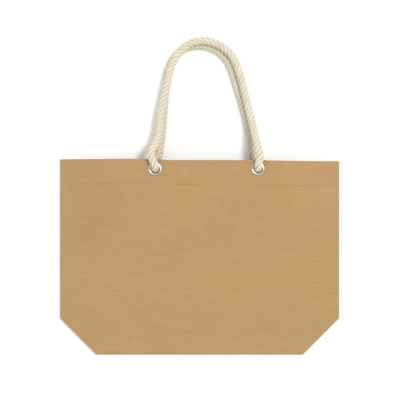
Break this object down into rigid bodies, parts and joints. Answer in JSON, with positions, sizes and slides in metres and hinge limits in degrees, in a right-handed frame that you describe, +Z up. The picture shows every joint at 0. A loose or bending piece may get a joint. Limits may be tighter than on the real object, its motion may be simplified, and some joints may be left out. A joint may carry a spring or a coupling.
{
  "type": "rope handle tote bag",
  "caption": "Empty wide tote bag with a folded-in boxed base, lying on its back, with two twisted rope handles through metal eyelets that swing over its faces.",
  "frame": {"origin": "under the middle of the bag's body, on the surface that its back panel lies on", "axes": "+Z up out of the front panel, +Y from the base towards the mouth and the handles, +X to the right across the front panel"},
  "size_m": [0.5, 0.568, 0.0644],
  "materials": {
    "cloth": "woven tan cloth with slub yarns, matt",
    "thread": "overlocked seam edges, matt",
    "rope": "undyed twisted cotton rope, matt",
    "nickel": "nickel-plated, polished"
  },
  "bodies": {
    "bag": {"front_panel": "cloth", "back_panel": "cloth", "base_panel": "cloth", "left_corner_gusset": "cloth", "right_corner_gusset": "cloth", "front_hem_facing": "cloth", "back_hem_facing": "cloth", "left_side_seam": "thread", "right_side_seam": "thread", "left_corner_seam": "thread", "right_corner_seam": "thread", "front_left_eyelet": "nickel", "front_right_eyelet": "nickel", "back_left_eyelet": "nickel", "back_right_eyelet": "nickel", "front_left_washer": "nickel", "front_right_washer": "nickel", "back_left_washer": "nickel", "back_right_washer": "nickel", "front_left_rope_end": "rope", "front_right_rope_end": "rope", "back_left_rope_end": "rope", "back_right_rope_end": "rope"},
    "front_handle": {"front_handle_rope": "rope"},
    "back_handle": {"back_handle_rope": "rope"}
  },
  "joints": [
    {"name": "front_handle_swing", "type": "hinge", "parent": "bag", "child": "front_handle", "pos_m": [0.012, 0.157, 0.0577], "axis": [1, 0, 0], "range_deg": [0, 180]},
    {"name": "back_handle_swing", "type": "hinge", "parent": "bag", "child": "back_handle", "pos_m": [0.012, 0.157, 0.0071], "axis": [1, 0, 0], "range_deg": [-165, 0]}
  ]
}
